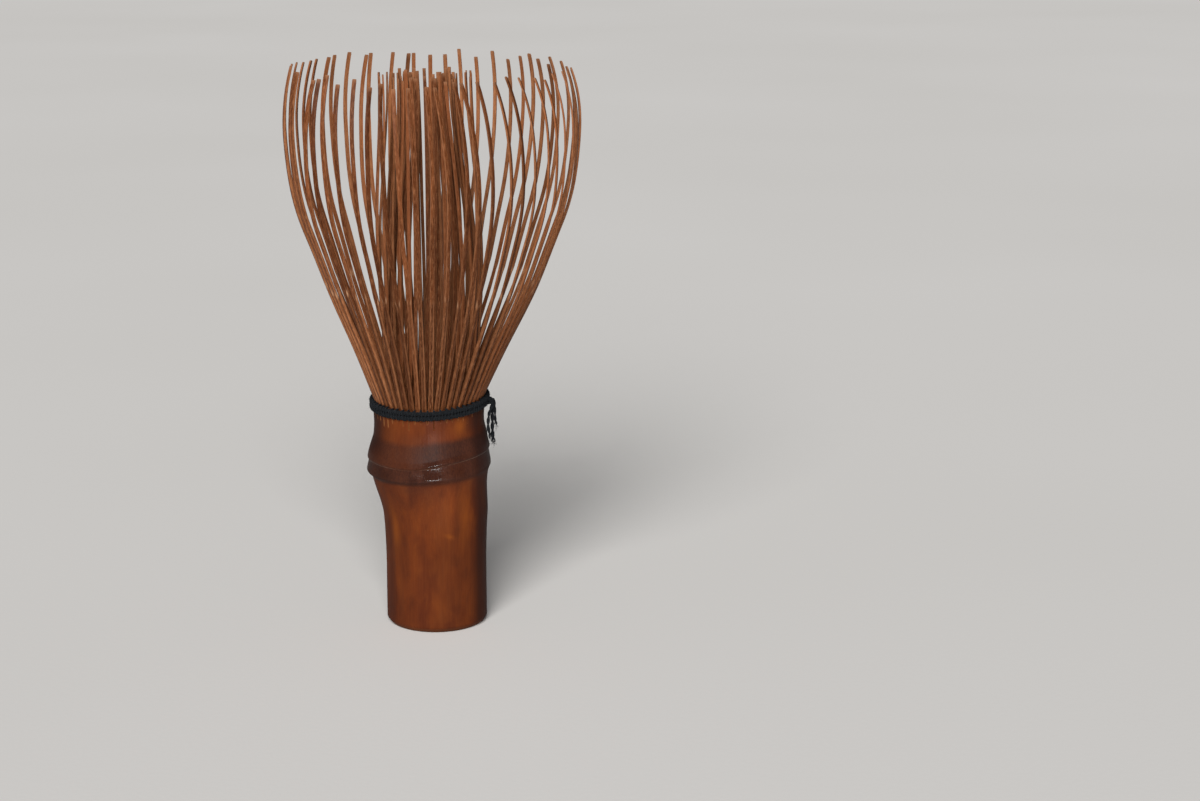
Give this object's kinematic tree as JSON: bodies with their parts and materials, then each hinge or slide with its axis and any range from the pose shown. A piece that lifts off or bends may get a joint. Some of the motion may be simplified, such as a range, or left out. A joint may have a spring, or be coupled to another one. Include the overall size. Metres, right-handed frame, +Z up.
{
  "type": "bamboo tea whisk",
  "caption": "Bamboo tea whisk: a hollow culm handle with a node, split into a flared ring of springy outer tines round a bunch of fine inner tines, laced with black thread.",
  "frame": {"origin": "centre of the culm at its base, on the plane that the whisk stands on", "axes": "+Z up the culm to the tine tips, -Y towards the front, +X to the right of the front"},
  "size_m": [0.0608, 0.0608, 0.116],
  "materials": {
    "smoked_culm": "smoked bamboo skin, satin, mottled orange to dark brown",
    "smoked_outer_tine": "split and shaved smoked bamboo, reddish brown, satin",
    "smoked_inner_tine": "split and shaved smoked bamboo, reddish brown, matt",
    "black_thread": "twisted cotton thread, blue-black, matt"
  },
  "bodies": {
    "handle": {"handle": "smoked_culm", "lacing_lower_round": "black_thread", "lacing_upper_round": "black_thread", "lacing_inner_round": "black_thread", "thread_knot": "black_thread", "thread_tail": "black_thread"},
    "outer_tines_01": {"outer_tines_01": "smoked_outer_tine"},
    "outer_tines_02": {"outer_tines_02": "smoked_outer_tine"},
    "outer_tines_03": {"outer_tines_03": "smoked_outer_tine"},
    "outer_tines_04": {"outer_tines_04": "smoked_outer_tine"},
    "outer_tines_05": {"outer_tines_05": "smoked_outer_tine"},
    "outer_tines_06": {"outer_tines_06": "smoked_outer_tine"},
    "outer_tines_07": {"outer_tines_07": "smoked_outer_tine"},
    "outer_tines_08": {"outer_tines_08": "smoked_outer_tine"},
    "outer_tines_09": {"outer_tines_09": "smoked_outer_tine"},
    "outer_tines_10": {"outer_tines_10": "smoked_outer_tine"},
    "outer_tines_11": {"outer_tines_11": "smoked_outer_tine"},
    "outer_tines_12": {"outer_tines_12": "smoked_outer_tine"},
    "outer_tines_13": {"outer_tines_13": "smoked_outer_tine"},
    "outer_tines_14": {"outer_tines_14": "smoked_outer_tine"},
    "inner_tines_1": {"inner_tines_1": "smoked_inner_tine"},
    "inner_tines_2": {"inner_tines_2": "smoked_inner_tine"},
    "inner_tines_3": {"inner_tines_3": "smoked_inner_tine"},
    "inner_tines_4": {"inner_tines_4": "smoked_inner_tine"},
    "inner_tines_5": {"inner_tines_5": "smoked_inner_tine"},
    "inner_tines_6": {"inner_tines_6": "smoked_inner_tine"},
    "inner_tines_7": {"inner_tines_7": "smoked_inner_tine"},
    "inner_tines_8": {"inner_tines_8": "smoked_inner_tine"}
  },
  "joints": [
    {"name": "outer_tines_01_flex", "type": "hinge", "parent": "handle", "child": "outer_tines_01", "pos_m": [0.01102, 0.00251, 0.0484], "axis": [-0.2225, 0.9749, 0], "range_deg": [-4, 6], "stiffness_Nm_per_rad": 0.008},
    {"name": "outer_tines_02_flex", "type": "hinge", "parent": "handle", "child": "outer_tines_02", "pos_m": [0.00884, 0.00705, 0.0484], "axis": [-0.6235, 0.7818, 0], "range_deg": [-4, 6], "stiffness_Nm_per_rad": 0.008},
    {"name": "outer_tines_03_flex", "type": "hinge", "parent": "handle", "child": "outer_tines_03", "pos_m": [0.0049, 0.01018, 0.0484], "axis": [-0.901, 0.4339, 0], "range_deg": [-4, 6], "stiffness_Nm_per_rad": 0.008},
    {"name": "outer_tines_04_flex", "type": "hinge", "parent": "handle", "child": "outer_tines_04", "pos_m": [0, 0.0113, 0.0484], "axis": [-1, 0, 0], "range_deg": [-4, 6], "stiffness_Nm_per_rad": 0.008},
    {"name": "outer_tines_05_flex", "type": "hinge", "parent": "handle", "child": "outer_tines_05", "pos_m": [-0.0049, 0.01018, 0.0484], "axis": [-0.901, -0.4339, 0], "range_deg": [-4, 6], "stiffness_Nm_per_rad": 0.008},
    {"name": "outer_tines_06_flex", "type": "hinge", "parent": "handle", "child": "outer_tines_06", "pos_m": [-0.00884, 0.00705, 0.0484], "axis": [-0.6235, -0.7818, 0], "range_deg": [-4, 6], "stiffness_Nm_per_rad": 0.008},
    {"name": "outer_tines_07_flex", "type": "hinge", "parent": "handle", "child": "outer_tines_07", "pos_m": [-0.01102, 0.00251, 0.0484], "axis": [-0.2225, -0.9749, 0], "range_deg": [-4, 6], "stiffness_Nm_per_rad": 0.008},
    {"name": "outer_tines_08_flex", "type": "hinge", "parent": "handle", "child": "outer_tines_08", "pos_m": [-0.01102, -0.00251, 0.0484], "axis": [0.2225, -0.9749, 0], "range_deg": [-4, 6], "stiffness_Nm_per_rad": 0.008},
    {"name": "outer_tines_09_flex", "type": "hinge", "parent": "handle", "child": "outer_tines_09", "pos_m": [-0.00884, -0.00705, 0.0484], "axis": [0.6235, -0.7818, 0], "range_deg": [-4, 6], "stiffness_Nm_per_rad": 0.008},
    {"name": "outer_tines_10_flex", "type": "hinge", "parent": "handle", "child": "outer_tines_10", "pos_m": [-0.0049, -0.01018, 0.0484], "axis": [0.901, -0.4339, 0], "range_deg": [-4, 6], "stiffness_Nm_per_rad": 0.008},
    {"name": "outer_tines_11_flex", "type": "hinge", "parent": "handle", "child": "outer_tines_11", "pos_m": [0, -0.0113, 0.0484], "axis": [1, 0, 0], "range_deg": [-4, 6], "stiffness_Nm_per_rad": 0.008},
    {"name": "outer_tines_12_flex", "type": "hinge", "parent": "handle", "child": "outer_tines_12", "pos_m": [0.0049, -0.01018, 0.0484], "axis": [0.901, 0.4339, 0], "range_deg": [-4, 6], "stiffness_Nm_per_rad": 0.008},
    {"name": "outer_tines_13_flex", "type": "hinge", "parent": "handle", "child": "outer_tines_13", "pos_m": [0.00884, -0.00705, 0.0484], "axis": [0.6235, 0.7818, 0], "range_deg": [-4, 6], "stiffness_Nm_per_rad": 0.008},
    {"name": "outer_tines_14_flex", "type": "hinge", "parent": "handle", "child": "outer_tines_14", "pos_m": [0.01102, -0.00251, 0.0484], "axis": [0.2225, 0.9749, 0], "range_deg": [-4, 6], "stiffness_Nm_per_rad": 0.008},
    {"name": "inner_tines_1_flex", "type": "hinge", "parent": "handle", "child": "inner_tines_1", "pos_m": [0.00869, 0.0036, 0.0484], "axis": [-0.3827, 0.9239, 0], "range_deg": [0, 3], "stiffness_Nm_per_rad": 0.006},
    {"name": "inner_tines_2_flex", "type": "hinge", "parent": "handle", "child": "inner_tines_2", "pos_m": [0.0036, 0.00869, 0.0484], "axis": [-0.9239, 0.3827, 0], "range_deg": [0, 3], "stiffness_Nm_per_rad": 0.006},
    {"name": "inner_tines_3_flex", "type": "hinge", "parent": "handle", "child": "inner_tines_3", "pos_m": [-0.0036, 0.00869, 0.0484], "axis": [-0.9239, -0.3827, 0], "range_deg": [0, 3], "stiffness_Nm_per_rad": 0.006},
    {"name": "inner_tines_4_flex", "type": "hinge", "parent": "handle", "child": "inner_tines_4", "pos_m": [-0.00869, 0.0036, 0.0484], "axis": [-0.3827, -0.9239, 0], "range_deg": [0, 3], "stiffness_Nm_per_rad": 0.006},
    {"name": "inner_tines_5_flex", "type": "hinge", "parent": "handle", "child": "inner_tines_5", "pos_m": [-0.00869, -0.0036, 0.0484], "axis": [0.3827, -0.9239, 0], "range_deg": [0, 3], "stiffness_Nm_per_rad": 0.006},
    {"name": "inner_tines_6_flex", "type": "hinge", "parent": "handle", "child": "inner_tines_6", "pos_m": [-0.0036, -0.00869, 0.0484], "axis": [0.9239, -0.3827, 0], "range_deg": [0, 3], "stiffness_Nm_per_rad": 0.006},
    {"name": "inner_tines_7_flex", "type": "hinge", "parent": "handle", "child": "inner_tines_7", "pos_m": [0.0036, -0.00869, 0.0484], "axis": [0.9239, 0.3827, 0], "range_deg": [0, 3], "stiffness_Nm_per_rad": 0.006},
    {"name": "inner_tines_8_flex", "type": "hinge", "parent": "handle", "child": "inner_tines_8", "pos_m": [0.00869, -0.0036, 0.0484], "axis": [0.3827, 0.9239, 0], "range_deg": [0, 3], "stiffness_Nm_per_rad": 0.006}
  ]
}
